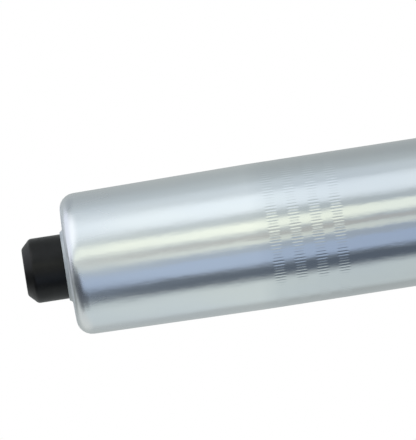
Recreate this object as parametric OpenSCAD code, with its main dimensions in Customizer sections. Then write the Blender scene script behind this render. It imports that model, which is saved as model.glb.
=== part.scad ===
// Chair gas lift cylinder, shown fully raised.
// The pressure tube slides in the column's guide bush, turns on the ball bearing
// under its piston rod, and is let go by the push button in its top end.
// Millimetres, +Z up along the column, origin at the centre of the column's foot.

/* [Column] */
// Outside diameter of the column tube
column_d = 50; // [44:0.5:60]
// Wall thickness of the column tube
column_wall = 1.5; // [1.2:0.1:2.5]
// Length of the column tube
column_length = 220; // [180:1:280]
// Length of the taper that seats in the chair base
base_taper_length = 60; // [40:1:90]
// Included angle of the base taper and the seat taper, in degrees
taper_angle = 1.438; // [1:0.001:2]
// Outside corner radius of the turned-in foot
foot_corner_r = 2.5; // [1.6:0.1:4]
// Radial width of the turned-in foot that carries the base plate
foot_lip = 5; // [3:0.5:7]

/* [Base plate] */
// Sheet thickness of the base plate
plate_t = 3; // [2:0.1:4]
// Height of the plate's raised centre above its flange
plate_rise = 6; // [5:0.5:9]
// Radial width of the sloping wall round the raised centre
plate_slope = 2.4; // [1:0.1:4]
// Flat margin of the raised centre outside the bearing
plate_margin = 1.5; // [0.5:0.1:3]

/* [Guide bush] */
// Length of the bush inside the column
bush_length = 85; // [60:1:110]
// Thickness of the collar that covers the column's rim
collar_t = 3; // [2:0.1:6]
// Setback of the collar's edge from the column's outside
collar_setback = 0.3; // [0.1:0.05:0.8]
// Corner radius of the collar
collar_corner_r = 1.4; // [0.5:0.1:1.8]
// Wall thickness of the sleeve round the pressure tube
sleeve_wall = 2.4; // [1.8:0.1:4]
// Length of the guiding land at each end of the bore
bush_land = 14; // [8:1:25]
// Depth of the relief between the guiding lands
bush_relief = 0.4; // [0.2:0.1:0.8]
// Thickness of the three webs that bear on the column's bore
bush_web_t = 4; // [2:0.5:8]
// Thickness of the ribs along the sleeve
bush_rib_t = 2; // [1.2:0.1:3]
// Setback of the ribs from the edge of the webs
bush_rib_setback = 0.6; // [0.3:0.1:2]
// Number of ribs
bush_rib_count = 12; // [6:1:16]
// Chamfer at the mouths of the bore
bush_mouth = 0.8; // [0.3:0.1:1.2]

/* [Pressure tube] */
// Outside diameter of the pressure tube
tube_d = 28; // [26:0.5:34]
// Wall thickness of the pressure tube
tube_wall = 1.8; // [1.5:0.1:2.4]
// Height adjustment range
stroke = 100; // [60:1:140]
// Height of the tube's end above the collar when fully lowered
lowered_reach = 57; // [45:1:90]
// Length of the taper that seats in the chair mechanism
seat_taper_length = 36; // [30:1:45]
// Corner radius where the top end is spun in
shoulder_r = 3; // [2:0.1:4]
// Thickness of the spun-in top end
end_t = 1.6; // [1.2:0.1:2.5]
// Rise of the top end from its shoulder to its lip
end_dome = 0.25; // [0.1:0.05:0.6]
// Height of the raised lip round the button
end_lip_h = 0.55; // [0.3:0.05:1]
// Radial width of the raised lip's top
end_lip_w = 0.15; // [0.1:0.05:1]
// Radial run of the raised lip's sloping side
end_lip_slope = 0.4; // [0.2:0.05:1.5]
// Bevel inside the top end
end_bevel = 1.2; // [0.8:0.1:1.6]
// Corner radius of the spun-in lower end
tube_foot_r = 2; // [1:0.1:2.6]
// Radial width of the spun-in lower end
tube_foot_lip = 5; // [3:0.1:6]

/* [Release button] */
// Diameter of the button
button_d = 12.4; // [10:0.1:14]
// Height of the button above the raised lip
button_height = 7.7; // [6:0.1:14]
// Chamfer of the button's end
button_chamfer = 1.75; // [0.5:0.05:2.5]
// Press travel of the button
button_travel = 4; // [2:0.1:5]
// Radial width of the flange that keeps the button in
button_flange = 1.25; // [0.8:0.05:1.6]
// Thickness of that flange
button_flange_t = 1.6; // [1:0.1:2.5]
// Depth of the socket for the valve pin
button_socket = 5; // [3:0.1:7]

/* [Valve] */
// Diameter of the valve pin
pin_d = 6; // [5:0.1:7]
// Depth of the pin's waist below its surface
pin_waist = 1; // [0.6:0.1:1.4]
// Thickness of the pin's stop head
pin_head_t = 2; // [1.2:0.1:4]
// Radial width of the stop head's shoulder
pin_head_step = 1.6; // [1:0.1:2]
// Cord diameter of the two seals round the pin
pin_cord = 2; // [1.6:0.1:2.4]
// Height of the solid web between the button's well and the pin's seals
valve_web = 6; // [4:0.1:9]
// Height of the ported spacer between the pin's seals
spacer_h = 7; // [6:0.1:10]
// Radial width of the gas gallery inside the spacer
gallery_w = 0.9; // [0.5:0.1:1.2]
// Height of the ring that holds the seals in
retainer_h = 4; // [3:0.1:6]
// Diameter of the radial ports
port_d = 2; // [1.2:0.1:2.6]
// Number of radial ports
port_count = 4; // [2:1:6]
// Height of the recess that leads the ports to the gas gap
port_recess = 5; // [3.6:0.1:6]
// Cord diameter of the seal between valve body and pressure tube
body_cord = 2.4; // [1.8:0.1:2.8]
// Cord diameter of the seal between valve body and inner tube
inner_cord = 1.8; // [1.4:0.1:2.2]

/* [Inner tube] */
// Gas gap between inner tube and pressure tube
gas_gap = 1.2; // [0.8:0.1:1.6]
// Wall thickness of the inner tube
inner_wall = 1; // [0.8:0.1:1.4]

/* [Lower end of the pressure tube] */
// Thickness of the washer behind the rod seal
end_washer_t = 2.5; // [1.5:0.1:4]
// Height of the rod seal
rod_seal_h = 5; // [3.5:0.1:8]
// Half width of the groove in the rod seal
rod_seal_groove = 1.2; // [0.8:0.1:1.6]
// Height by which the seal's lip stands back at the bottom
rod_seal_heel = 0.5; // [0.2:0.1:0.8]
// Height of the rod guide's body
guide_h = 6; // [4:0.1:10]
// Height of the guide's spigot inside the inner tube
guide_spigot_h = 7; // [5:0.1:10]
// Height of the recess below the inner tube
guide_recess = 2.5; // [2:0.1:4]
// Width of the gas slots
gas_slot_w = 2.2; // [1.5:0.1:3]
// Depth of the gas slots
gas_slot_depth = 1.2; // [0.8:0.1:1.6]
// Number of gas slots
gas_slot_count = 4; // [2:1:6]

/* [Piston] */
// Width of the lands beside the piston's grooves
piston_land = 1.8; // [1.2:0.1:3]
// Cord diameter of the piston seal
piston_cord = 1.8; // [1.4:0.1:2.2]
// Width of the split guide ring
guide_ring_w = 4; // [3:0.1:6]
// Radial thickness of the split guide ring
guide_ring_t = 1.2; // [0.8:0.1:1.6]
// Width of the split in the guide ring
guide_ring_split = 0.8; // [0.5:0.1:1.5]
// Thickness of the washer on the piston
piston_washer_t = 1.5; // [1:0.1:3]
// Radial width of the washer on the piston
piston_washer_w = 3.5; // [2.5:0.1:4.5]

/* [Piston rod] */
// Diameter of the piston rod
rod_d = 10; // [9:0.1:12]
// Shoulder that rests on the bearing
rod_foot_step = 1; // [0.7:0.1:1.4]
// Shoulder that carries the piston
rod_neck_step = 1.5; // [1:0.1:2]
// Height of the riveted head
rivet_h = 2; // [1.2:0.1:3]
// Radial width of the riveted head
rivet_step = 1.2; // [0.8:0.1:2]
// Length of the rod below its clip
rod_tail = 1.6; // [1:0.1:2.5]
// Chamfer at the rod's foot
rod_chamfer = 0.6; // [0.3:0.1:1]
// Depth of the clip's groove
clip_groove = 0.9; // [0.6:0.1:1.2]
// Thickness of the clip
clip_t = 1; // [0.6:0.1:1.5]
// Radial reach of the clip beyond the rod's foot
clip_reach = 2.4; // [2:0.1:4]
// Width of the clip's band
clip_band = 1.5; // [1:0.1:1.8]
// Width of the clip's prongs
clip_prong_w = 2.2; // [1.5:0.1:3]
// Thickness of the washer under the base plate
foot_washer_t = 1.2; // [0.8:0.1:2]
// Radial width of the washer under the base plate
foot_washer_w = 4; // [3:0.1:6]

/* [Bearing] */
// Diameter of the bearing balls
ball_d = 4; // [3:0.1:5]
// Number of bearing balls
ball_count = 9; // [6:1:10]
// Thickness of each race
race_t = 2; // [1.6:0.1:3]
// Depth of the ball groove in each race
race_groove = 0.8; // [0.4:0.1:1]
// Width of the race beside the balls
race_land = 2.2; // [1.6:0.1:3]
// Width of the cage beside the balls
cage_rim = 1.3; // [1:0.1:1.5]
// Gap between the cage and each race
cage_gap = 0.5; // [0.3:0.05:0.6]

/* [Bump stop] */
// Height of the bump stop
bump_height = 8; // [5:0.1:14]
// Radial thickness of the bump stop
bump_wall = 6.5; // [4:0.1:9]
// Radius of the groove round the bump stop
bump_groove_r = 1.6; // [0.8:0.1:2.2]
// Gap left above the bump stop when fully lowered
bump_gap = 0.3; // [0.2:0.05:1]

/* [Fits] */
// Radial clearance of pieces pressed or seated in each other
seat_clearance = 0.03; // [0.02:0.01:0.08]
// Radial clearance of pieces that slide or turn in each other
slide_clearance = 0.06; // [0.04:0.01:0.1]
// Clearance of each ball in its grooves and pockets
ball_clearance = 0.05; // [0.03:0.01:0.1]
// Radial clearance round the button
button_clearance = 0.2; // [0.15:0.05:0.5]
// Free clearance of pieces that only pass through a hole
free_clearance = 0.3; // [0.2:0.05:0.5]
// Axial play at stops, washers and clips
end_play = 0.1; // [0.05:0.01:0.2]

/* [Hidden] */
$fn = 96;
past = 1;

// Radius lost along a length of taper
function taper_drop(length) = length * tan(taper_angle / 2);
function unit(v) = v / norm(v);

// Column and base plate
column_r = column_d / 2;
column_bore_r = column_r - column_wall;
foot_r = column_r - taper_drop(base_taper_length);
plate_z = column_wall;
plate_bore_r = column_bore_r - taper_drop(base_taper_length - plate_z);
foot_hole_r = plate_bore_r - foot_lip;
plate_centre_z = plate_z + plate_rise;
plate_top_z = plate_centre_z + plate_t;
plate_wall_shift = plate_t * (norm([plate_slope, plate_rise]) - plate_slope) / plate_rise;

// Rod radii and the bearing stack
rod_r = rod_d / 2;
rod_foot_r = rod_r - rod_foot_step;
rod_neck_r = rod_r - rod_neck_step;
ball_r = ball_d / 2;
race_bore_r = rod_foot_r + seat_clearance;
pitch_r = race_bore_r + race_land + ball_r;
race_r = pitch_r + ball_r + race_land;
groove_r = ball_r + ball_clearance;
ball_z = plate_top_z + race_t - race_groove + groove_r;
upper_race_z = ball_z + groove_r - race_groove;
rod_shoulder_z = upper_race_z + race_t;
dish_r = race_r + plate_margin;
bump_top_z = rod_shoulder_z + bump_height;

// Foot washer and clip
foot_washer_z = plate_centre_z - end_play - foot_washer_t;
clip_z = foot_washer_z - end_play - clip_t;
clip_groove_r = rod_foot_r - clip_groove;
rod_end_z = clip_z - end_play - rod_tail;

// Pressure tube, raised by the whole stroke
tube_r = tube_d / 2;
tube_bore_r = tube_r - tube_wall;
tube_z = bump_top_z + bump_gap + stroke;
collar_z = column_length + collar_t;
lip_z = collar_z + lowered_reach + stroke;
rim_z = lip_z - end_lip_h;
shoulder_z = rim_z - end_dome;
seat_taper_z = shoulder_z - seat_taper_length;
seat_end_r = tube_r - taper_drop(seat_taper_length);
tube_foot_hole_r = tube_bore_r - tube_foot_lip;
plug_r = tube_bore_r - seat_clearance;

// Inner tube
inner_r = tube_bore_r - gas_gap;
inner_bore_r = inner_r - inner_wall;
spigot_r = inner_bore_r - seat_clearance;

// Lower end of the pressure tube
end_washer_z = tube_z + tube_wall;
rod_seal_z = end_washer_z + end_washer_t;
guide_z = rod_seal_z + rod_seal_h;
guide_recess_z = guide_z + guide_h;
guide_shoulder_z = guide_recess_z + guide_recess;
guide_top_z = guide_shoulder_z + guide_spigot_h;

// Piston
piston_r = inner_bore_r - slide_clearance;
piston_groove_w = piston_cord + 2 * end_play;
ring_groove_w = guide_ring_w + 2 * end_play;
piston_z = guide_top_z + end_play;
piston_groove_z = piston_z + piston_land;
ring_groove_z = piston_groove_z + piston_groove_w + piston_land;
piston_top_z = ring_groove_z + ring_groove_w + piston_land;
rivet_z = piston_top_z + piston_washer_t;

// Button and the valve under the spun-in end
button_r = button_d / 2;
button_hole_r = button_r + button_clearance;
end_lip_r = button_hole_r + end_lip_w;
button_top_z = lip_z + button_height;
valve_top_z = rim_z - end_t;
flange_r = button_r + button_flange;
flange_top_z = valve_top_z - end_play;
flange_z = flange_top_z - button_flange_t;
well_r = flange_r + button_clearance;
well_z = flange_z - button_travel - free_clearance;
pin_r = pin_d / 2;
pin_top_z = flange_z + button_socket;
pocket_r = pin_r + slide_clearance + pin_cord + seat_clearance;
pocket_z = well_z - valve_web;
pin_seal_h = pin_cord + end_play;
spacer_top_z = pocket_z - pin_seal_h;
spacer_z = spacer_top_z - spacer_h;
retainer_top_z = spacer_z - pin_seal_h;
valve_end_z = retainer_top_z - retainer_h;
port_z = spacer_z + spacer_h / 2;
valve_recess_z = port_z + port_recess / 2;
valve_shoulder_z = port_z - port_recess / 2;
body_seal_z = (valve_top_z - end_bevel + valve_recess_z) / 2;
inner_seal_z = (valve_shoulder_z + valve_end_z) / 2;
pin_waist_r = pin_r - pin_waist;
pin_head_z = valve_end_z - end_play - pin_head_t;

// Guide bush
bush_bore_r = tube_r + slide_clearance;
sleeve_r = bush_bore_r + sleeve_wall;
bush_r = column_bore_r - seat_clearance;
bush_z = column_length - bush_length;

// Ring of plain section between two radii and two heights
module ring(inner, outer, bottom, top) {
    rotate_extrude()
        translate([inner, bottom]) square([outer - inner, top - bottom]);
}

// Ring of round cord, given its outside radius and the height of its middle
module o_ring(outer, cord, height) {
    rotate_extrude()
        translate([outer - cord / 2, height]) circle(d = cord);
}

// Groove for a round cord, cut from an outline
module cord_groove(outer, cord, height) {
    half = cord / 2 + end_play;
    translate([outer - cord - seat_clearance, height - half])
        square([cord + past, 2 * half]);
}

// What a rounded corner takes away from a sharp one
module corner_waste(corner, before, after, r) {
    a = unit(before - corner);
    b = unit(after - corner);
    middle = unit(a + b);
    half = acos(a * b) / 2;
    centre = corner + middle * r / sin(half);
    reach = r / tan(half);
    difference() {
        polygon([corner + a * reach, corner - middle * r, corner + b * reach, centre]);
        translate(centre) circle(r);
    }
}

// Painted steel tube with its tapered foot turned in under the base plate
module column_tube() {
    hole = [foot_hole_r, 0];
    corner = [foot_r, 0];
    taper_end = [column_r, base_taper_length];
    color("DimGray")
        rotate_extrude()
            difference() {
                polygon([
                    hole, corner, taper_end,
                    [column_r, column_length],
                    [column_bore_r, column_length],
                    [column_bore_r, base_taper_length],
                    [plate_bore_r, plate_z],
                    [foot_hole_r, plate_z]
                ]);
                corner_waste(corner, hole, taper_end, foot_corner_r);
            }
}

// Dished steel plate whose raised centre carries the bearing
module base_plate() {
    plate_r = plate_bore_r - seat_clearance;
    hole_r = rod_foot_r + free_clearance;
    color("SlateGray")
        rotate_extrude()
            polygon([
                [dish_r + plate_slope - plate_wall_shift, plate_z],
                [plate_r, plate_z],
                [plate_r, plate_z + plate_t],
                [dish_r + plate_slope, plate_z + plate_t],
                [dish_r, plate_top_z],
                [hole_r, plate_top_z],
                [hole_r, plate_centre_z],
                [dish_r - plate_wall_shift, plate_centre_z]
            ]);
}

// Collar that covers the column's rim
module bush_collar() {
    collar_r = column_r - collar_setback;
    edge = [collar_r, collar_z];
    base = [collar_r, column_length];
    mouth = [bush_bore_r, collar_z];
    rotate_extrude()
        difference() {
            polygon([[bush_bore_r, column_length], base, edge, mouth]);
            corner_waste(edge, mouth, base, collar_corner_r);
        }
}

// Bevel that opens one end of the bush's bore
module bush_mouth_cut(height, direction) {
    rotate_extrude()
        polygon([
            [bush_bore_r - past, height + direction * past],
            [bush_bore_r + bush_mouth + past, height + direction * past],
            [bush_bore_r - past, height - direction * (bush_mouth + past)]
        ]);
}

// Moulded bush: a sleeve with two guiding lands, ribs and three bearing webs
module guide_bush() {
    rib_r = bush_r - bush_rib_setback;
    web_pitch = (bush_length - bush_web_t) / 2;
    color("DarkSlateGray")
        difference() {
            union() {
                ring(bush_bore_r, sleeve_r, bush_z, column_length);
                for (k = [0 : 2])
                    ring(bush_bore_r, bush_r,
                        bush_z + k * web_pitch, bush_z + k * web_pitch + bush_web_t);
                for (k = [0 : bush_rib_count - 1])
                    rotate(k * 360 / bush_rib_count)
                        translate([sleeve_r - sleeve_wall / 2, -bush_rib_t / 2, bush_z])
                            cube([rib_r - sleeve_r + sleeve_wall / 2, bush_rib_t, bush_length]);
                bush_collar();
            }
            ring(bush_bore_r - past, bush_bore_r + bush_relief,
                bush_z + bush_land, column_length - bush_land);
            bush_mouth_cut(bush_z, -1);
            bush_mouth_cut(collar_z, 1);
        }
}

// Steel washer with a ball groove, given its bore and the height of its underside
module race(bore, bottom) {
    rotate_extrude()
        difference() {
            translate([bore, bottom]) square([race_r - bore, race_t]);
            translate([pitch_r, ball_z]) circle(groove_r);
        }
}

// Race that lies on the base plate, clear of the rod
module bearing_lower_race() {
    color("LightSteelBlue") race(rod_foot_r + free_clearance, plate_top_z);
}

// Race that turns with the rod
module bearing_upper_race() {
    color("LightSteelBlue") race(race_bore_r, upper_race_z);
}

// Moulded cage that spaces the balls
module bearing_cage() {
    thickness = upper_race_z - plate_top_z - race_t - 2 * cage_gap;
    color("Ivory")
        translate([0, 0, ball_z - thickness / 2])
            linear_extrude(thickness)
                difference() {
                    circle(pitch_r + ball_r + cage_rim);
                    circle(pitch_r - ball_r - cage_rim);
                    for (k = [0 : ball_count - 1])
                        rotate(k * 360 / ball_count)
                            translate([pitch_r, 0]) circle(groove_r);
                }
}

// Steel balls
module bearing_balls() {
    color("Gainsboro")
        for (k = [0 : ball_count - 1])
            rotate(k * 360 / ball_count)
                translate([pitch_r, 0, ball_z]) sphere(ball_r);
}

// Rubber buffer that the pressure tube meets when fully lowered
module bump_stop() {
    inner = rod_r + seat_clearance;
    outer = rod_r + bump_wall;
    color("Black")
        rotate_extrude()
            difference() {
                translate([inner, rod_shoulder_z]) square([outer - inner, bump_height]);
                translate([outer, rod_shoulder_z + bump_height / 2]) circle(bump_groove_r);
            }
}

// Ground steel rod, stepped for the bearing and the piston and riveted at the top
module piston_rod() {
    clip_top_z = clip_z + clip_t + end_play;
    rivet_r = rod_neck_r + rivet_step;
    color("Silver")
        rotate_extrude()
            polygon([
                [0, rod_end_z],
                [rod_foot_r - rod_chamfer, rod_end_z],
                [rod_foot_r, rod_end_z + rod_chamfer],
                [rod_foot_r, clip_z - end_play],
                [clip_groove_r, clip_z - end_play],
                [clip_groove_r, clip_top_z],
                [rod_foot_r, clip_top_z],
                [rod_foot_r, rod_shoulder_z],
                [rod_r, rod_shoulder_z],
                [rod_r, piston_z],
                [rod_neck_r, piston_z],
                [rod_neck_r, rivet_z],
                [rivet_r, rivet_z],
                [rod_neck_r, rivet_z + rivet_h],
                [0, rivet_z + rivet_h]
            ]);
}

// Thrust washer under the base plate
module foot_washer() {
    color("LightGray")
        ring(rod_foot_r + seat_clearance, rod_foot_r + foot_washer_w,
            foot_washer_z, foot_washer_z + foot_washer_t);
}

// Spring clip with three prongs in the rod's groove
module rod_clip() {
    clip_r = rod_foot_r + clip_reach;
    seat_r = clip_groove_r + seat_clearance;
    color("DimGray")
        translate([0, 0, clip_z])
            linear_extrude(clip_t)
                difference() {
                    union() {
                        difference() {
                            circle(clip_r);
                            circle(clip_r - clip_band);
                        }
                        for (angle = [75, 180, 285])
                            rotate(angle)
                                translate([0, -clip_prong_w / 2])
                                    square([clip_r - clip_band / 2, clip_prong_w]);
                    }
                    circle(seat_r);
                    translate([0, -seat_r]) square([clip_r + past, 2 * seat_r]);
                }
}

// Turned piston with a groove for its seal and one for its guide ring
module piston() {
    bore = rod_neck_r + seat_clearance;
    ring_floor_r = inner_bore_r - slide_clearance - guide_ring_t - seat_clearance;
    color("LightGray")
        rotate_extrude()
            difference() {
                translate([bore, piston_z]) square([piston_r - bore, piston_top_z - piston_z]);
                cord_groove(piston_r, piston_cord, piston_groove_z + piston_groove_w / 2);
                translate([ring_floor_r, ring_groove_z])
                    square([guide_ring_t + past, ring_groove_w]);
            }
}

// Seal that closes the gap between piston and inner tube
module piston_seal() {
    color("Black") o_ring(piston_r, piston_cord, piston_groove_z + piston_groove_w / 2);
}

// Split wear band, cut through at 45 degrees
module piston_guide_ring() {
    bottom = ring_groove_z + end_play;
    color("Khaki")
        difference() {
            ring(piston_r - guide_ring_t, piston_r, bottom, bottom + guide_ring_w);
            translate([piston_r, 0, bottom + guide_ring_w / 2])
                rotate([45, 0, 0])
                    cube([4 * guide_ring_t, guide_ring_split, 4 * guide_ring_w], center = true);
        }
}

// Washer between the piston and the riveted head
module piston_washer() {
    color("LightGray")
        ring(rod_neck_r + seat_clearance, rod_neck_r + piston_washer_w, piston_top_z, rivet_z);
}

// Zinc-plated steel tube, tapered at the top and spun in at both ends
module pressure_tube() {
    foot_hole = [tube_foot_hole_r, tube_z];
    foot_corner = [tube_r, tube_z];
    taper_start = [tube_r, seat_taper_z];
    shoulder = [seat_end_r, shoulder_z];
    lip_foot = [end_lip_r + end_lip_slope, rim_z];
    color("WhiteSmoke")
        rotate_extrude()
            difference() {
                polygon([
                    foot_hole, foot_corner, taper_start, shoulder, lip_foot,
                    [end_lip_r, lip_z],
                    [button_hole_r, lip_z],
                    [button_hole_r, valve_top_z],
                    [tube_bore_r - end_bevel, valve_top_z],
                    [tube_bore_r, valve_top_z - end_bevel],
                    [tube_bore_r, end_washer_z],
                    [tube_foot_hole_r, end_washer_z]
                ]);
                corner_waste(foot_corner, foot_hole, taper_start, tube_foot_r);
                corner_waste(shoulder, taper_start, lip_foot, shoulder_r);
            }
}

// Steel washer that backs the rod seal
module end_washer() {
    color("LightGray") ring(rod_r + free_clearance, plug_r, end_washer_z, rod_seal_z);
}

// Rubber seal with a grooved upper face and one lip on the rod
module rod_seal() {
    lip_r = rod_r + slide_clearance;
    groove_middle_r = (lip_r + plug_r) / 2;
    groove_floor_z = guide_z - rod_seal_h / 2;
    color("Black")
        rotate_extrude()
            polygon([
                [lip_r + rod_seal_heel, rod_seal_z],
                [plug_r, rod_seal_z],
                [plug_r, guide_z],
                [groove_middle_r + rod_seal_groove, guide_z],
                [groove_middle_r, groove_floor_z],
                [groove_middle_r - rod_seal_groove, guide_z],
                [lip_r, guide_z],
                [lip_r, groove_floor_z],
                [lip_r + rod_seal_heel, groove_floor_z - rod_seal_heel]
            ]);
}

// Guide with gas slots that lead from the inner tube to the gas gap
module rod_guide() {
    bore = rod_r + slide_clearance;
    color("BurlyWood")
        difference() {
            rotate_extrude()
                polygon([
                    [bore, guide_z],
                    [plug_r, guide_z],
                    [plug_r, guide_recess_z],
                    [inner_r, guide_recess_z],
                    [inner_r, guide_shoulder_z],
                    [spigot_r, guide_shoulder_z],
                    [spigot_r, guide_top_z],
                    [bore, guide_top_z]
                ]);
            for (k = [0 : gas_slot_count - 1])
                rotate(k * 360 / gas_slot_count)
                    translate([
                        spigot_r - gas_slot_depth, -gas_slot_w / 2,
                        guide_shoulder_z - gas_slot_depth
                    ])
                        cube([
                            inner_r - spigot_r + gas_slot_depth + past, gas_slot_w,
                            guide_spigot_h + gas_slot_depth + past
                        ]);
        }
}

// Thin steel tube that the piston runs in
module inner_tube() {
    color("LightSteelBlue") ring(inner_bore_r, inner_r, guide_shoulder_z, valve_shoulder_z);
}

// Radial ports at one height, from the axis outwards
module ports() {
    for (k = [0 : port_count - 1])
        rotate(k * 360 / port_count)
            translate([0, 0, port_z])
                rotate([0, 90, 0]) cylinder(d = port_d, h = tube_r);
}

// Turned plug that holds the valve under the spun-in end
module valve_body() {
    pin_bore_r = pin_r + slide_clearance;
    color("Goldenrod")
        difference() {
            rotate_extrude()
                difference() {
                    polygon([
                        [well_r, valve_top_z],
                        [plug_r - end_bevel, valve_top_z],
                        [plug_r, valve_top_z - end_bevel],
                        [plug_r, valve_recess_z],
                        [inner_r, valve_recess_z],
                        [inner_r, valve_shoulder_z],
                        [spigot_r, valve_shoulder_z],
                        [spigot_r, valve_end_z],
                        [pocket_r, valve_end_z],
                        [pocket_r, pocket_z],
                        [pin_bore_r, pocket_z],
                        [pin_bore_r, well_z],
                        [well_r, well_z]
                    ]);
                    cord_groove(plug_r, body_cord, body_seal_z);
                    cord_groove(spigot_r, inner_cord, inner_seal_z);
                }
            ports();
        }
}

// Seal between valve body and pressure tube
module valve_body_seal() {
    color("Black") o_ring(plug_r, body_cord, body_seal_z);
}

// Seal between valve body and inner tube
module inner_tube_seal() {
    color("Black") o_ring(spigot_r, inner_cord, inner_seal_z);
}

// Upper seal round the valve pin
module stem_seal() {
    color("Black") o_ring(pocket_r - seat_clearance, pin_cord, pocket_z - pin_seal_h / 2);
}

// Ported ring that keeps the two pin seals apart
module port_spacer() {
    color("Tan")
        difference() {
            ring(pin_r + gallery_w, pocket_r - seat_clearance, spacer_z, spacer_top_z);
            ports();
        }
}

// Lower seal round the valve pin, which the pin's waist opens
module seat_seal() {
    color("Black") o_ring(pocket_r - seat_clearance, pin_cord, retainer_top_z + pin_seal_h / 2);
}

// Ring pressed into the valve body below the seals
module seat_retainer() {
    color("SlateGray")
        ring(pin_r + free_clearance, pocket_r - seat_clearance, valve_end_z, retainer_top_z);
}

// Steel pin with a waist and a stop head, pushed down by the button
module valve_pin() {
    waist_top_z = spacer_top_z - pin_waist / 2;
    waist_z = spacer_z + pin_waist / 2;
    color("Silver")
        rotate_extrude()
            polygon([
                [0, pin_head_z],
                [pin_r + pin_head_step, pin_head_z],
                [pin_r + pin_head_step, pin_head_z + pin_head_t],
                [pin_r, pin_head_z + pin_head_t],
                [pin_r, waist_z],
                [pin_waist_r, waist_z + pin_waist],
                [pin_waist_r, waist_top_z - pin_waist],
                [pin_r, waist_top_z],
                [pin_r, pin_top_z],
                [0, pin_top_z]
            ]);
}

// Moulded button with a flange under the spun-in end and a socket for the pin
module release_button() {
    socket_r = pin_r + seat_clearance;
    color("Black")
        rotate_extrude()
            polygon([
                [socket_r, flange_z],
                [flange_r, flange_z],
                [flange_r, flange_top_z],
                [button_r, flange_top_z],
                [button_r, button_top_z - button_chamfer],
                [button_r - button_chamfer, button_top_z],
                [0, button_top_z],
                [0, pin_top_z],
                [socket_r, pin_top_z]
            ]);
}

column_tube();
base_plate();
guide_bush();
bearing_lower_race();
bearing_cage();
bearing_balls();
bearing_upper_race();
bump_stop();
piston_rod();
foot_washer();
rod_clip();
piston();
piston_seal();
piston_guide_ring();
piston_washer();
pressure_tube();
end_washer();
rod_seal();
rod_guide();
inner_tube();
valve_body();
valve_body_seal();
inner_tube_seal();
stem_seal();
port_spacer();
seat_seal();
seat_retainer();
valve_pin();
release_button();
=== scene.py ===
import bpy
import numpy as np
from mathutils import Matrix, Vector


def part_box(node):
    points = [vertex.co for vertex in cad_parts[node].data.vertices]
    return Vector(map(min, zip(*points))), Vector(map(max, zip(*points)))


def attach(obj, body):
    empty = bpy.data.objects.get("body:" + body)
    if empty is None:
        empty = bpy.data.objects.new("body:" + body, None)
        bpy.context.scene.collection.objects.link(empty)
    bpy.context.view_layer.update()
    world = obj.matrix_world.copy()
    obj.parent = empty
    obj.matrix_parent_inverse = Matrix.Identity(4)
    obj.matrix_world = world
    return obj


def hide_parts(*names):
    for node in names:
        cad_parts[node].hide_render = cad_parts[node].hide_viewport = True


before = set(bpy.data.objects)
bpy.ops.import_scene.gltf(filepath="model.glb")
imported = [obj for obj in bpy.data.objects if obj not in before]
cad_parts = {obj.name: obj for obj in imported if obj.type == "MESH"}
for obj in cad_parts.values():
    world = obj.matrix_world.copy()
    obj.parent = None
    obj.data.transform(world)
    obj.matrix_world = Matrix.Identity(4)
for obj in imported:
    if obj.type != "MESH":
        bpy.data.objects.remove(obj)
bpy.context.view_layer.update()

# Column tube
# The outer tube of the lift is drawn steel under black powder coat. Its lower end is swaged to
# the taper that wedges in the chair base, and its foot is turned in to carry the base plate.
# The sizes of all pieces are in millimetres, and MM takes them to metres.
MM = 0.001
TAPER_SLOPE = np.tan(np.radians(0.719))
COLUMN_R = 25.0
COLUMN_WALL = 1.5
COLUMN_BORE_R = COLUMN_R - COLUMN_WALL
COLUMN_TOP_Z = 220.0
COLUMN_SIDES = 160
BASE_TAPER_Z = 60.0
COLUMN_FOOT_R = COLUMN_R - BASE_TAPER_Z * TAPER_SLOPE
PLATE_Z = COLUMN_WALL
PLATE_BORE_R = COLUMN_BORE_R - (BASE_TAPER_Z - PLATE_Z) * TAPER_SLOPE
FOOT_LIP = 5.0
FOOT_HOLE_R = PLATE_BORE_R - FOOT_LIP
ARC_POINTS = 7


def rounded_outline(corners, closed=True, lead=0.12):
    """Section of a turned piece with its corners rounded, as rows of radius and height.

    Each corner is a radius, a height and its rounding r. The sides of a corner are left at
    r / tan(h), where h is half the angle between them. An arc about the point on the bisector at
    r / sin(h) joins them. One more point on each side, lead further out, keeps the straight sides
    flat when they are shaded. The ends of an open outline stay as they are.
    """
    corners = np.array(corners, float)
    if closed:
        corners = np.vstack([corners[-1], corners, corners[0]])
    rounding = corners[1:-1, 2:]
    corners = corners[:, :2]
    corner = corners[1:-1]
    before = corners[:-2] - corner
    after = corners[2:] - corner
    before /= np.linalg.norm(before, axis=1, keepdims=True)
    after /= np.linalg.norm(after, axis=1, keepdims=True)
    half = np.arccos(np.sum(before * after, axis=1, keepdims=True)) / 2
    bisector = before + after
    bisector /= np.linalg.norm(bisector, axis=1, keepdims=True)
    centre = corner + bisector * rounding / np.sin(half)
    setback = rounding / np.tan(half)
    start = (corner + before * setback - centre)[:, None]
    end = (corner + after * setback - centre)[:, None]
    turn = (np.pi - 2 * half)[:, None]
    share = np.linspace(0, 1, ARC_POINTS)[None, :, None]
    swept = (np.sin((1 - share) * turn) * start + np.sin(share * turn) * end) / np.sin(turn)
    lead_in = (corner + before * (setback + lead))[:, None]
    lead_out = (corner + after * (setback + lead))[:, None]
    rows = np.concatenate([lead_in, centre[:, None] + swept, lead_out], axis=1).reshape(-1, 2)
    return rows if closed else np.vstack([corners[0], rows, corners[-1]])


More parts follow.
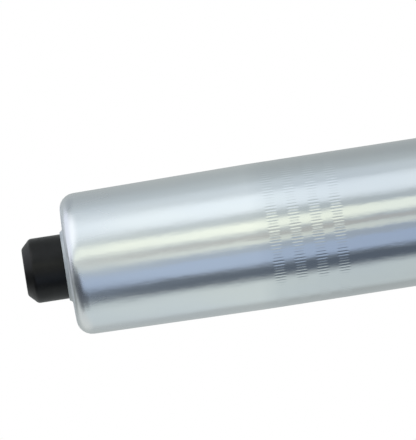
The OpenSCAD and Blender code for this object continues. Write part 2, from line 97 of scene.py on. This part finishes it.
def turned_piece(name, outline, angles, sunk=0.0, closed=True):
    """Piece made by turning an outline about the Z axis.

    Point (i, j) lies at radius r_i - sunk_ij and height z_i of outline point i, and at angle j.
    Quads join neighbours both ways, and the last angle joins the first. A closed outline's last
    point joins its first; an open one starts and ends in one point on the axis, closed by fans.
    """
    ring = outline if closed else outline[1:-1]
    radius = (ring[:, :1] - sunk) * MM
    height = np.broadcast_to(ring[:, 1:] * MM, (len(ring), len(angles)))
    points = np.stack([radius * np.cos(angles), radius * np.sin(angles), height], axis=-1)
    points = points.reshape(-1, 3)
    index = np.arange(len(points)).reshape(len(ring), len(angles))
    lower = index if closed else index[:-1]
    upper = np.roll(index, -1, axis=0) if closed else index[1:]
    next_lower = np.roll(lower, -1, axis=1)
    next_upper = np.roll(upper, -1, axis=1)
    quads = np.stack([lower, next_lower, next_upper, upper], axis=-1)
    faces = quads.reshape(-1, 4).tolist()
    if not closed:
        foot = np.full(len(angles), len(points))
        faces += np.stack([foot, np.roll(index[0], -1), index[0]], axis=-1).tolist()
        faces += np.stack([index[-1], np.roll(index[-1], -1), foot + 1], axis=-1).tolist()
        ends = np.array([[0, 0, outline[0, 1]], [0, 0, outline[-1, 1]]]) * MM
        points = np.vstack([points, ends])
    mesh = bpy.data.meshes.new(name)
    mesh.from_pydata(points.tolist(), [], faces)
    mesh.shade_smooth()
    mesh.update()
    piece = bpy.data.objects.new(name, mesh)
    bpy.context.scene.collection.objects.link(piece)
    return piece


def even_angles(count):
    """Equal steps round a full turn."""
    return np.arange(count) * 2 * np.pi / count


def new_finish(name, **constants):
    """Material with one shader. Each constant goes to the socket of its name, _ for a blank."""
    material = bpy.data.materials.new(name)
    material.use_nodes = True
    shader = material.node_tree.nodes["Principled BSDF"]
    for socket, value in constants.items():
        shader.inputs[socket.replace("_", " ")].default_value = value
    return material, shader


def grain(shader, cells, detail=2.0, stretch=(1, 1, 1)):
    """Noise over the piece's own coordinates, with so many cells to the metre along each axis."""
    tree = shader.id_data
    place = tree.nodes.new("ShaderNodeTexCoord")
    mapping = tree.nodes.new("ShaderNodeMapping")
    noise = tree.nodes.new("ShaderNodeTexNoise")
    mapping.inputs["Scale"].default_value = stretch
    noise.inputs["Scale"].default_value = cells
    noise.inputs["Detail"].default_value = detail
    tree.links.new(place.outputs["Object"], mapping.inputs["Vector"])
    tree.links.new(mapping.outputs["Vector"], noise.inputs["Vector"])
    return noise.outputs[0]


# Nearly all of a noise lies between these two values.
NOISE_LOW = 0.3
NOISE_HIGH = 0.7


def tint(shader, pattern, dark, light, target=None):
    """Carries a noise to the base colour, or to another place, as colours from dark to light."""
    tree = shader.id_data
    ramp = tree.nodes.new("ShaderNodeValToRGB")
    ramp.color_ramp.elements[0].position = NOISE_LOW
    ramp.color_ramp.elements[1].position = NOISE_HIGH
    ramp.color_ramp.elements[0].color = (*dark, 1)
    ramp.color_ramp.elements[1].color = (*light, 1)
    place = shader.inputs["Base Color"] if target is None else target
    tree.links.new(pattern, ramp.inputs["Fac"])
    tree.links.new(ramp.outputs["Color"], place)


def roughen(shader, pattern, low, high, target=None):
    """Carries a noise to the roughness, or to another place, as values from low to high."""
    tree = shader.id_data
    values = tree.nodes.new("ShaderNodeMapRange")
    values.inputs["From Min"].default_value = NOISE_LOW
    values.inputs["From Max"].default_value = NOISE_HIGH
    values.inputs["To Min"].default_value = low
    values.inputs["To Max"].default_value = high
    place = shader.inputs["Roughness"] if target is None else target
    tree.links.new(pattern, values.inputs["Value"])
    tree.links.new(values.outputs["Result"], place)


def relief(shader, pattern, height, under=None):
    """Raises a pattern by a height in millimetres, over another relief where one is given."""
    tree = shader.id_data
    bump = tree.nodes.new("ShaderNodeBump")
    bump.inputs["Strength"].default_value = 1.0
    bump.inputs["Distance"].default_value = height * MM
    tree.links.new(pattern, bump.inputs["Height"])
    if under is not None:
        tree.links.new(under, bump.inputs["Normal"])
    tree.links.new(bump.outputs["Normal"], shader.inputs["Normal"])
    return bump.outputs["Normal"]


def along_height(shader, stops):
    """Colour or grey that runs straight from stop to stop, each a height in millimetres and the
    value there."""
    tree = shader.id_data
    heights = np.array([stop[0] for stop in stops]) * MM
    place = tree.nodes.new("ShaderNodeTexCoord")
    split = tree.nodes.new("ShaderNodeSeparateXYZ")
    share = tree.nodes.new("ShaderNodeMapRange")
    share.inputs["From Min"].default_value = heights[0]
    share.inputs["From Max"].default_value = heights[-1]
    ramp = tree.nodes.new("ShaderNodeValToRGB")
    for middle in (heights[1:-1] - heights[0]) / (heights[-1] - heights[0]):
        ramp.color_ramp.elements.new(middle)
    for element, stop in zip(ramp.color_ramp.elements, stops):
        element.color = (*np.broadcast_to(stop[1], 3).tolist(), 1)
    tree.links.new(place.outputs["Object"], split.inputs["Vector"])
    tree.links.new(split.outputs["Z"], share.inputs["Value"])
    tree.links.new(share.outputs["Result"], ramp.inputs["Fac"])
    return ramp.outputs["Color"]


def product(shader, socket, first):
    """Carries one colour times a second one to a socket, and gives the second one's place."""
    tree = shader.id_data
    times = tree.nodes.new("ShaderNodeMix")
    times.data_type = "RGBA"
    times.blend_type = "MULTIPLY"
    times.inputs["Factor"].default_value = 1.0
    tree.links.new(first, times.inputs["A"])
    tree.links.new(times.outputs["Result"], shader.inputs[socket])
    return times.inputs["B"]


column_outline = rounded_outline(
    [
        (FOOT_HOLE_R, 0, 0.35),
        (COLUMN_FOOT_R, 0, 2.5),
        (COLUMN_R, BASE_TAPER_Z, 60),
        (COLUMN_R, COLUMN_TOP_Z, 0.3),
        (COLUMN_BORE_R, COLUMN_TOP_Z, 0.2),
        (COLUMN_BORE_R, BASE_TAPER_Z, 60),
        (PLATE_BORE_R, PLATE_Z, 0.15),
        (FOOT_HOLE_R, PLATE_Z, 0.35),
    ]
)
column = turned_piece("painted_column", column_outline, even_angles(COLUMN_SIDES))

# The coat is rubbed paler at the foot and the rim, and lies in a fine orange peel.
powder_coat, powder_shader = new_finish("black_powder_coat", Specular_IOR_Level=0.5)
rubbed_rims = along_height(
    powder_shader, [(0, 1.0), (3, 0.5), (9, 0.3), (215, 0.3), (219, 0.45), (220, 1.0)]
)
tint(
    powder_shader, grain(powder_shader, 90, 5), (0.014, 0.014, 0.0155), (0.042, 0.042, 0.043),
    target=product(powder_shader, "Base Color", rubbed_rims),
)
roughen(powder_shader, grain(powder_shader, 160, 3), 0.16, 0.26)
orange_peel = relief(powder_shader, grain(powder_shader, 420, 2), 0.03)
relief(powder_shader, grain(powder_shader, 2200, 2), 0.004, orange_peel)
column.data.materials.append(powder_coat)
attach(column, "column")
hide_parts("column_tube")

# Guide bush
# A long black acetal bush, injection moulded with ribs and webs that bear in the column's bore.
# It is pressed in from the top, and its collar covers the column's rim.


def dress(material, *nodes):
    """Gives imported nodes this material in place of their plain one."""
    for node in nodes:
        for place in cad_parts[node].material_slots:
            place.material = material


bush_acetal, bush_shader = new_finish("moulded_bush", Specular_IOR_Level=0.4)
tint(bush_shader, grain(bush_shader, 90, 3), (0.01, 0.01, 0.011), (0.02, 0.02, 0.021))
roughen(bush_shader, grain(bush_shader, 420, 2), 0.36, 0.5)
relief(bush_shader, grain(bush_shader, 2600, 2), 0.012)
dress(bush_acetal, "guide_bush")

# Base plate and foot washer
# The plate is pressed from zinc-plated sheet steel, with a raised centre for the bearing, and
# lies on the turned-in foot. A punched washer turns with the rod under it.
PLATE_T = 3.0
PLATE_CLEARANCE = 0.03
PLATE_R = PLATE_BORE_R - PLATE_CLEARANCE
PLATE_HOLE_R = 4.3
PLATE_SIDES = 144
DISH_R = 13.93
DISH_SLOPE = 2.4
DISH_RISE = 6.0
DISH_Z = PLATE_Z + DISH_RISE
WALL_SHIFT = PLATE_T * (np.hypot(DISH_SLOPE, DISH_RISE) - DISH_SLOPE) / DISH_RISE
plate_outline = rounded_outline(
    [
        (DISH_R + DISH_SLOPE - WALL_SHIFT, PLATE_Z, 1.6),
        (PLATE_R, PLATE_Z, 0.5),
        (PLATE_R, PLATE_Z + PLATE_T, 0.25),
        (DISH_R + DISH_SLOPE, PLATE_Z + PLATE_T, 0.8),
        (DISH_R, DISH_Z + PLATE_T, 1.2),
        (PLATE_HOLE_R, DISH_Z + PLATE_T, 0.2),
        (PLATE_HOLE_R, DISH_Z, 0.35),
        (DISH_R - WALL_SHIFT, DISH_Z, 0.9),
    ]
)
plate = turned_piece("pressed_base_plate", plate_outline, even_angles(PLATE_SIDES))
plate_zinc, plate_shader = new_finish("zinc_plated_sheet", Metallic=1.0)
tint(plate_shader, grain(plate_shader, 140, 4), (0.47, 0.46, 0.42), (0.63, 0.63, 0.61))
roughen(plate_shader, grain(plate_shader, 420, 3), 0.3, 0.46)
relief(plate_shader, grain(plate_shader, 1500, 3), 0.008)
plate.data.materials.append(plate_zinc)
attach(plate, "column")
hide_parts("base_plate")

WASHER_HOLE_R = 4.03
WASHER_SIDES = 96
washer_low, washer_high = (np.array(corner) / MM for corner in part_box("foot_washer"))
washer_outline = rounded_outline(
    [
        (WASHER_HOLE_R, washer_low[2], 0.12),
        (washer_high[0], washer_low[2], 0.3),
        (washer_high[0], washer_high[2], 0.12),
        (WASHER_HOLE_R, washer_high[2], 0.12),
    ],
    lead=0.05,
)
washer = turned_piece("punched_foot_washer", washer_outline, even_angles(WASHER_SIDES))
washer.data.materials.append(plate_zinc)
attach(washer, "rod")
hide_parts("foot_washer")

# Thrust bearing and bump stop
# Two turned and hardened races with polished balls between them in a moulded cage let the seat
# turn. A rubber buffer on the upper race softens the end of the way down.


def tool_marks(shader, lines, detail=2.0):
    """Noise of radius and height alone: the fine rings that turning or grinding leaves."""
    tree = shader.id_data
    place = tree.nodes.new("ShaderNodeTexCoord")
    split = tree.nodes.new("ShaderNodeSeparateXYZ")
    flat = tree.nodes.new("ShaderNodeCombineXYZ")
    length = tree.nodes.new("ShaderNodeVectorMath")
    length.operation = "LENGTH"
    together = tree.nodes.new("ShaderNodeCombineXYZ")
    noise = tree.nodes.new("ShaderNodeTexNoise")
    noise.inputs["Scale"].default_value = lines
    noise.inputs["Detail"].default_value = detail
    tree.links.new(place.outputs["Object"], split.inputs["Vector"])
    tree.links.new(split.outputs["X"], flat.inputs["X"])
    tree.links.new(split.outputs["Y"], flat.inputs["Y"])
    tree.links.new(flat.outputs["Vector"], length.inputs[0])
    tree.links.new(length.outputs["Value"], together.inputs["X"])
    tree.links.new(split.outputs["Z"], together.inputs["Z"])
    tree.links.new(together.outputs["Vector"], noise.inputs["Vector"])
    return noise.outputs[0]


race_steel, race_shader = new_finish("turned_race_steel", Metallic=1.0)
tint(race_shader, grain(race_shader, 260, 3), (0.5, 0.51, 0.53), (0.66, 0.67, 0.69))
roughen(race_shader, tool_marks(race_shader, 5200), 0.14, 0.3)
relief(race_shader, tool_marks(race_shader, 5200), 0.003)
dress(race_steel, "bearing_lower_race", "bearing_upper_race")

ball_steel, ball_shader = new_finish("polished_ball_steel", Metallic=1.0)
tint(ball_shader, grain(ball_shader, 900, 3), (0.7, 0.71, 0.73), (0.82, 0.83, 0.84))
roughen(ball_shader, grain(ball_shader, 2400, 4), 0.05, 0.13)
dress(ball_steel, "bearing_balls")

cage_nylon, cage_shader = new_finish("natural_nylon", Specular_IOR_Level=0.45)
tint(cage_shader, grain(cage_shader, 600, 3), (0.66, 0.61, 0.49), (0.77, 0.73, 0.62))
roughen(cage_shader, grain(cage_shader, 1400, 2), 0.35, 0.5)
relief(cage_shader, grain(cage_shader, 3000, 2), 0.006)
dress(cage_nylon, "bearing_cage")

nitrile, nitrile_shader = new_finish("black_nitrile", Specular_IOR_Level=0.3)
tint(nitrile_shader, grain(nitrile_shader, 800, 3), (0.011, 0.011, 0.011), (0.026, 0.026, 0.025))
roughen(nitrile_shader, grain(nitrile_shader, 1600, 3), 0.5, 0.72)
relief(nitrile_shader, grain(nitrile_shader, 5000, 2), 0.01)
dress(nitrile, "bump_stop")

# Piston rod and its clip
# The rod is ground and hard chromed, stepped for the bearing and the piston and riveted over at
# its top. A phosphated spring clip snapped in its groove keeps the whole slide in the column.
rod_chrome, rod_shader = new_finish("ground_chromed_rod", Metallic=1.0)
tint(rod_shader, grain(rod_shader, 120, 3), (0.6, 0.61, 0.63), (0.72, 0.73, 0.75))
roughen(rod_shader, tool_marks(rod_shader, 4200), 0.09, 0.19)
relief(rod_shader, tool_marks(rod_shader, 6000), 0.002)
dress(rod_chrome, "piston_rod")

clip_phosphate, clip_shader = new_finish("phosphated_spring_steel", Metallic=0.7)
tint(clip_shader, grain(clip_shader, 900, 4), (0.045, 0.045, 0.05), (0.11, 0.11, 0.115))
roughen(clip_shader, grain(clip_shader, 2200, 3), 0.42, 0.6)
relief(clip_shader, grain(clip_shader, 4000, 2), 0.006)
dress(clip_phosphate, "rod_clip")

# Piston with its seal, guide ring and washer
# A turned aluminium piston is riveted on the rod's neck with a zinc-plated washer. A nitrile
# O-ring closes it in the inner tube, and a split band of filled plastic guides it.
aluminium, aluminium_shader = new_finish("turned_aluminium", Metallic=1.0)
tint(aluminium_shader, grain(aluminium_shader, 300, 3), (0.7, 0.7, 0.69), (0.82, 0.82, 0.81))
roughen(aluminium_shader, tool_marks(aluminium_shader, 3600), 0.24, 0.42)
relief(aluminium_shader, tool_marks(aluminium_shader, 3600), 0.006)
dress(aluminium, "piston")
dress(nitrile, "piston_seal")
dress(plate_zinc, "piston_washer")

guide_plastic, guide_shader = new_finish("filled_guide_plastic", Specular_IOR_Level=0.4)
tint(guide_shader, grain(guide_shader, 1900, 4), (0.36, 0.25, 0.12), (0.55, 0.43, 0.26))
roughen(guide_shader, grain(guide_shader, 1200, 2), 0.42, 0.6)
relief(guide_shader, grain(guide_shader, 3600, 2), 0.008)
dress(guide_plastic, "piston_guide_ring")

# Inner tube and the lower end of the pressure tube
# The piston runs in a thin drawn steel tube. A plastic guide, a rubber lip seal and a steel
# washer close the lower end round the rod, all held by the spun-in end of the pressure tube.
inner_steel, inner_shader = new_finish("drawn_inner_steel", Metallic=1.0)
draw_lines = grain(inner_shader, 900, 3, (1, 1, 0.02))
tint(inner_shader, draw_lines, (0.52, 0.53, 0.54), (0.67, 0.68, 0.69))
roughen(inner_shader, draw_lines, 0.2, 0.36)
relief(inner_shader, draw_lines, 0.004)
dress(inner_steel, "inner_tube")
dress(guide_plastic, "rod_guide")
dress(nitrile, "rod_seal")
dress(plate_zinc, "end_washer")

# Valve under the spun-in top end
# A turned aluminium plug holds two O-rings round a steel pin, with a ported spacer between them
# and a pressed ring below. The pin's waist opens the lower ring when the button is pressed.
dress(aluminium, "valve_body")
dress(nitrile, "valve_body_seal", "inner_tube_seal", "stem_seal", "seat_seal")
dress(guide_plastic, "port_spacer")
dress(plate_zinc, "seat_retainer")
dress(rod_chrome, "valve_pin")

# Pressure tube
# A steel tube plated with bright zinc, ground to the seat taper at its top and spun in at both
# ends; a small lip stands up round the button. Four rolled rows of plain ticks run round it.
TUBE_R = 14.0
TUBE_WALL = 1.8
TUBE_BORE_R = TUBE_R - TUBE_WALL
TUBE_FOOT_Z = 125.3
TUBE_FOOT_HOLE_R = 7.2
SEAT_TAPER_Z = 343.2
SHOULDER_Z = 379.2
SHOULDER_R = TUBE_R - (SHOULDER_Z - SEAT_TAPER_Z) * TAPER_SLOPE
RIM_Z = 379.45
LIP_Z = 380.0
LIP_R = 6.55
LIP_FOOT_R = 6.95
BUTTON_HOLE_R = 6.4
SEAT_Z = 377.85
END_BEVEL = 1.2
tube_outline = rounded_outline(
    [
        (TUBE_FOOT_HOLE_R, TUBE_FOOT_Z, 0.3),
        (TUBE_R, TUBE_FOOT_Z, 2.0),
        (TUBE_R, SEAT_TAPER_Z, 30),
        (SHOULDER_R, SHOULDER_Z, 3.0),
        (LIP_FOOT_R, RIM_Z, 0.35),
        (LIP_R, LIP_Z, 0.1),
        (BUTTON_HOLE_R, LIP_Z, 0.05),
        (BUTTON_HOLE_R, SEAT_Z, 0.1),
        (TUBE_BORE_R - END_BEVEL, SEAT_Z, 0.3),
        (TUBE_BORE_R, SEAT_Z - END_BEVEL, 0.3),
        (TUBE_BORE_R, TUBE_FOOT_Z + TUBE_WALL, 0.3),
        (TUBE_FOOT_HOLE_R, TUBE_FOOT_Z + TUBE_WALL, 0.2),
    ],
    lead=0.02,
)

# The ticks are fine rolled grooves, evenly spaced round the tube. Each is a cosine hollow across
# its width that runs out smoothly at both ends, and the roll has bitten some a little deeper.
TICK_COUNT = 132
TICK_HALF_W = 0.15
TICK_HALF_H = 0.7
TICK_RUN_OUT = 0.6
TICK_DEPTH = 0.021
LEAST_BITE = 0.8
BITE_SEED = 4
TICK_ROWS_Z = np.array([327.7, 331.8, 335.9, 340.0])
run_out = TICK_HALF_H + TICK_RUN_OUT * np.linspace(0, 1, 4)
tick_z = (TICK_ROWS_Z[:, None] + np.concatenate([-run_out[::-1], run_out])).ravel()
first_above = np.argmax(tube_outline[:, 1] > tick_z[-1])
tick_rows = np.stack([np.full_like(tick_z, TUBE_R), tick_z], axis=-1)
tube_outline = np.insert(tube_outline, first_above, tick_rows, axis=0)

# Five columns of points cross each tick, and one face spans the plain tube up to the next one.
across = np.linspace(-1, 1, 5)
tube_angles = (even_angles(TICK_COUNT)[:, None] + across * TICK_HALF_W / TUBE_R).ravel()
hollow = np.tile((1 + np.cos(np.pi * across)) / 2, TICK_COUNT)
tick_of_column = np.repeat(np.arange(TICK_COUNT), len(across))

from_row = np.abs(tube_outline[:, 1:] - TICK_ROWS_Z)
end_share = np.clip((from_row.min(axis=1) - TICK_HALF_H) / TICK_RUN_OUT, 0, 1)
on_outside = tube_outline[:, 0] > TUBE_R - TUBE_WALL / 2
tick_length = (1 - end_share**2 * (3 - 2 * end_share)) * on_outside
bite_draws = np.random.default_rng(BITE_SEED)
tick_bite = bite_draws.uniform(LEAST_BITE, 1, (len(TICK_ROWS_Z), TICK_COUNT))
tick_sunk = TICK_DEPTH * tick_length[:, None] * hollow
tick_sunk = tick_sunk * tick_bite[from_row.argmin(axis=1)][:, tick_of_column]
tube = turned_piece("plated_pressure_tube", tube_outline, tube_angles, tick_sunk)

# The base colour is darkened on the tube below the ground taper and at the lip, painted shade for
# the darker reflections there, and the end is rougher towards its lip.
zinc, zinc_shader = new_finish("bright_zinc_plate", Metallic=1.0)
painted_shade_by_height = along_height(
    zinc_shader,
    [
        (325, (0.84, 0.85, 0.87)),
        (340, (0.9, 0.91, 0.92)),
        (344, 1.0),
        (379.4, 1.0),
        (379.7, 0.87),
    ],
)
tint(
    zinc_shader, grain(zinc_shader, 55, 4, (1, 1, 0.35)), (0.74, 0.78, 0.82), (0.8, 0.82, 0.8),
    target=product(zinc_shader, "Base Color", painted_shade_by_height),
)
dullness = along_height(
    zinc_shader, [(328, 0.12), (343, 0.155), (360, 0.19), (372, 0.27), (379, 0.29), (379.3, 0.8)]
)
roughen(
    zinc_shader, grain(zinc_shader, 240, 4, (1, 1, 0.12)), 0.84, 1.16,
    target=product(zinc_shader, "Roughness", dullness),
)
ground_lines = relief(zinc_shader, tool_marks(zinc_shader, 3000, 3), 0.0012)
relief(zinc_shader, grain(zinc_shader, 450, 5, (1, 1, 0.5)), 0.035, ground_lines)
tube.data.materials.append(zinc)
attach(tube, "cylinder")
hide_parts("pressure_tube")

# Release button
# A black moulded button with a bevelled end stands out of the top end. Its flange under the end
# keeps it in, and its socket sits on the valve pin.
BUTTON_R = 6.2
BUTTON_TOP_Z = 387.7
BUTTON_BEVEL = 1.75
BUTTON_SIDES = 128
FLANGE_R = 7.45
FLANGE_TOP_Z = 377.75
FLANGE_Z = 376.15
SOCKET_R = 3.03
SOCKET_TOP_Z = 381.15
button_outline = rounded_outline(
    [
        (0, SOCKET_TOP_Z, 0),
        (SOCKET_R, SOCKET_TOP_Z, 0.1),
        (SOCKET_R, FLANGE_Z, 0.2),
        (FLANGE_R, FLANGE_Z, 0.2),
        (FLANGE_R, FLANGE_TOP_Z, 0.2),
        (BUTTON_R, FLANGE_TOP_Z, 0.05),
        (BUTTON_R, BUTTON_TOP_Z - BUTTON_BEVEL, 1.0),
        (BUTTON_R - BUTTON_BEVEL, BUTTON_TOP_Z, 0.9),
        (0, BUTTON_TOP_Z, 0),
    ],
    closed=False,
    lead=0.04,
)
button_angles = even_angles(BUTTON_SIDES)
button = turned_piece("moulded_push_button", button_outline, button_angles, closed=False)
button_black, button_shader = new_finish("satin_black_button", Specular_IOR_Level=0.27)
tint(button_shader, grain(button_shader, 500, 3), (0.0015, 0.0015, 0.0015), (0.004, 0.004, 0.004))
roughen(button_shader, grain(button_shader, 900, 3), 0.3, 0.4)
relief(button_shader, grain(button_shader, 3200, 2), 0.012)
button.data.materials.append(button_black)
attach(button, "button")
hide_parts("release_button")

# Studio
# A pale round floor under the standing lift, two soft boxes for its dull surfaces, a white
# backdrop, and soft cards all round that the plated tube and the paint mirror as bands. The
# studio's and the camera's places are in metres.
FLOOR_R = 3.0
FLOOR_SIDES = 96
LIFT_MIDDLE = Vector((0, 0, 0.2))
floor_angles = even_angles(FLOOR_SIDES)
floor_level = np.zeros(FLOOR_SIDES)
floor_rim = np.stack([np.cos(floor_angles), np.sin(floor_angles), floor_level], axis=-1) * FLOOR_R
floor_mesh = bpy.data.meshes.new("studio_floor")
floor_mesh.from_pydata(floor_rim.tolist(), [], [list(range(FLOOR_SIDES))])
floor = bpy.data.objects.new("studio_floor", floor_mesh)
floor.visible_glossy = False
bpy.context.scene.collection.objects.link(floor)
floor_paper, floor_shader = new_finish("floor_paper", Specular_IOR_Level=0.2)
tint(floor_shader, grain(floor_shader, 12, 3), (0.885, 0.885, 0.877), (0.9, 0.9, 0.89))
roughen(floor_shader, grain(floor_shader, 300, 2), 0.7, 0.8)
floor_mesh.materials.append(floor_paper)


def soft_box(name, azimuth, elevation, distance, width, watts, colour):
    """Square lamp that faces the middle of the lift, from so many degrees round and up."""
    turn = np.radians(azimuth)
    rise = np.radians(elevation)
    out = Vector((np.sin(turn) * np.cos(rise), -np.cos(turn) * np.cos(rise), np.sin(rise)))
    lamp = bpy.data.lights.new(name, "AREA")
    lamp.size = width
    lamp.energy = watts
    lamp.color = colour
    box = bpy.data.objects.new(name, lamp)
    box.location = LIFT_MIDDLE + out * distance
    box.rotation_mode = "QUATERNION"
    box.rotation_quaternion = out.to_track_quat("Z", "Y")
    box.visible_glossy = False
    bpy.context.scene.collection.objects.link(box)


soft_box(
    "key_box", azimuth=55, elevation=48, distance=1.7, width=1.1, watts=20,
    colour=(1.0, 0.99, 0.97),
)
soft_box(
    "fill_box", azimuth=-115, elevation=40, distance=2.0, width=1.4, watts=12,
    colour=(0.97, 0.98, 1.0),
)

world = bpy.data.worlds.new("studio_world")
bpy.context.scene.world = world
world.use_nodes = True
studio = world.node_tree
studio.nodes.clear()
facing = studio.nodes.new("ShaderNodeTexCoord").outputs["Generated"]
level = studio.nodes.new("ShaderNodeVectorMath")
level.operation = "MULTIPLY"
level.inputs[1].default_value = (1, 1, 0)
level_unit = studio.nodes.new("ShaderNodeVectorMath")
level_unit.operation = "NORMALIZE"
studio.links.new(facing, level.inputs[0])
studio.links.new(level.outputs["Vector"], level_unit.inputs[0])


def studio_card(light, direction, centre, half_width, soft, colour, within=None):
    """Lays a card over the studio light: full colour within half_width degrees of its centre,
    less soft, and none beyond that width and soft. It shows only within a share, if given."""
    dot = studio.nodes.new("ShaderNodeVectorMath")
    dot.operation = "DOT_PRODUCT"
    dot.inputs[1].default_value = centre
    edge = studio.nodes.new("ShaderNodeMapRange")
    edge.interpolation_type = "SMOOTHSTEP"
    edge.inputs["From Min"].default_value = np.cos(np.radians(half_width + soft))
    edge.inputs["From Max"].default_value = np.cos(np.radians(max(half_width - soft, 0)))
    laid = studio.nodes.new("ShaderNodeMix")
    laid.data_type = "RGBA"
    laid.inputs["B"].default_value = (*colour, 1)
    studio.links.new(direction, dot.inputs[0])
    studio.links.new(dot.outputs["Value"], edge.inputs["Value"])
    studio.links.new(edge.outputs["Result"], laid.inputs["Factor"])
    if within is not None:
        studio.links.new(within, edge.inputs["To Max"])
    if isinstance(light, tuple):
        laid.inputs["A"].default_value = (*light, 1)
    else:
        studio.links.new(light, laid.inputs["A"])
    return laid.outputs["Result"]


def upright_card(light, azimuth, half_width, soft, colour, within=None):
    """A card that stands upright, so many degrees round from the camera towards +X."""
    turn = np.radians(azimuth)
    centre = (np.sin(turn), -np.cos(turn), 0)
    around = level_unit.outputs["Vector"]
    return studio_card(light, around, centre, half_width, soft, colour, within)


def overhead_card(light, towards, half_width, soft, colour):
    """A round card overhead, in this direction from the lift."""
    return studio_card(light, facing, Vector(towards).normalized(), half_width, soft, colour)


# Share of the low cards: none for light from above the level, all for light from well below it.
LOW_START = -0.08
LOW_FULL = -0.16
lift_of_ray = studio.nodes.new("ShaderNodeSeparateXYZ")
low = studio.nodes.new("ShaderNodeMapRange")
low.inputs["From Min"].default_value = LOW_START
low.inputs["From Max"].default_value = LOW_FULL
studio.links.new(facing, lift_of_ray.inputs["Vector"])
studio.links.new(lift_of_ray.outputs["Z"], low.inputs["Value"])

# The cards lie over an even grey room and over each other, in this order. Each has its place, its
# half width and its soft edge in degrees, and its colour.
ROOM_GREY = (0.61, 0.66, 0.68)
UPRIGHT_CARDS = (
    # Grey wall behind, then the pale and the white card on the right
    (180, 66, 22, (0.5, 0.53, 0.53)),
    (76, 12, 12, (0.76, 0.82, 0.86)),
    (55, 12, 10, (1.05, 1.12, 1.17)),
    # Two cream cards in front, with a grey gap between them
    (17, 7, 4, (1.18, 1.22, 1.08)),
    (0, 3, 2.5, (0.57, 0.565, 0.55)),
    (-9, 4, 3, (0.84, 0.88, 0.82)),
    # Blue card with a greyer edge, then the dark and the pale card on the left
    (-31, 17, 5, (0.48, 0.575, 0.75)),
    (-18, 4, 3, (0.46, 0.52, 0.6)),
    (-62, 15, 7, (0.13, 0.155, 0.195)),
    (-98, 26, 10, (0.7, 0.76, 0.77)),
)
LOW_CARDS = (
    # The same kinds of bands for the back of the tube, which only the views from behind mirror
    (118, 11, 7, (0.1, 0.11, 0.13)),
    (150, 12, 8, (0.42, 0.5, 0.66)),
    (172, 8, 5, (1.15, 1.18, 1.1)),
    (190, 4, 3, (0.5, 0.5, 0.5)),
    (214, 13, 10, (1.05, 1.1, 1.14)),
    (246, 9, 7, (0.2, 0.22, 0.25)),
)
OVERHEAD_CARDS = (
    # Two pale cards for the rounded end, at the back on the left and on the right
    ((-0.7, 0.5, 0.5), 22, 10, (0.74, 0.76, 0.75)),
    ((0.36, 0.32, 0.88), 24, 10, (1.0, 1.02, 1.12)),
    # A dark cover that reaches from the left over the lift to a little behind it
    ((-0.52, -0.22, 0.825), 26, 5, (0.08, 0.09, 0.11)),
    ((-0.83, -0.4, 0.39), 13, 6, (0.08, 0.09, 0.11)),
    ((-0.2, 0.1, 0.97), 14, 7, (0.1, 0.11, 0.12)),
    ((-0.15, 0.62, 0.77), 8, 6, (0.1, 0.11, 0.09)),
    # A grey card at the back on the right, and the bright one in front of it
    ((0.76, 0.55, 0.35), 12, 8, (0.4, 0.43, 0.45)),
    ((0.7, -0.24, 0.67), 18, 13, (1.3, 1.32, 1.36)),
)
light = ROOM_GREY
for azimuth, half_width, soft, colour in UPRIGHT_CARDS:
    light = upright_card(light, azimuth, half_width, soft, colour)
for azimuth, half_width, soft, colour in LOW_CARDS:
    light = upright_card(light, azimuth, half_width, soft, colour, low.outputs["Result"])
for towards, half_width, soft, colour in OVERHEAD_CARDS:
    light = overhead_card(light, towards, half_width, soft, colour)

cards = studio.nodes.new("ShaderNodeBackground")
backdrop = studio.nodes.new("ShaderNodeBackground")
backdrop.inputs["Color"].default_value = (1, 1, 1, 1)
seen = studio.nodes.new("ShaderNodeMixShader")
output = studio.nodes.new("ShaderNodeOutputWorld")
camera_ray = studio.nodes.new("ShaderNodeLightPath").outputs["Is Camera Ray"]
studio.links.new(light, cards.inputs["Color"])
studio.links.new(camera_ray, seen.inputs["Fac"])
studio.links.new(cards.outputs["Background"], seen.inputs[1])
studio.links.new(backdrop.outputs["Background"], seen.inputs[2])
studio.links.new(seen.outputs["Shader"], output.inputs["Surface"])
bpy.context.scene.view_settings.view_transform = "Standard"

# Camera
# It looks across the tube's top end, level with the button's base, and is rolled so that the
# lift lies across the picture with its button to the left. The picture is 416 by 440.
CAMERA_DISTANCE = 0.9
CAMERA_Z = 0.380
VIEW_CENTRE = Vector((0.00456, 0, 0.35157))
PICTURE_HEIGHT = 440
PIXELS_PER_MM = 5.232
AXIS_IN_PICTURE = (-0.98827, -0.15276)
SENSOR_MM = 36
camera_data = bpy.data.cameras.new("camera")
camera_data.sensor_width = SENSOR_MM
eye = VIEW_CENTRE + Vector((0, -CAMERA_DISTANCE, CAMERA_Z - VIEW_CENTRE.z))
view_height = PICTURE_HEIGHT / PIXELS_PER_MM * MM
camera_data.lens = SENSOR_MM * (eye - VIEW_CENTRE).length / view_height
camera_data.clip_end = 50
back = (eye - VIEW_CENTRE).normalized()
across_view = Vector((1, 0, 0))
along_view = back.cross(across_view)
right = along_view * AXIS_IN_PICTURE[0] + across_view * AXIS_IN_PICTURE[1]
up = along_view * AXIS_IN_PICTURE[1] - across_view * AXIS_IN_PICTURE[0]
camera = bpy.data.objects.new("camera", camera_data)
camera.matrix_world = Matrix.Translation(eye) @ Matrix((right, up, back)).transposed().to_4x4()
bpy.context.scene.collection.objects.link(camera)
bpy.context.scene.camera = camera
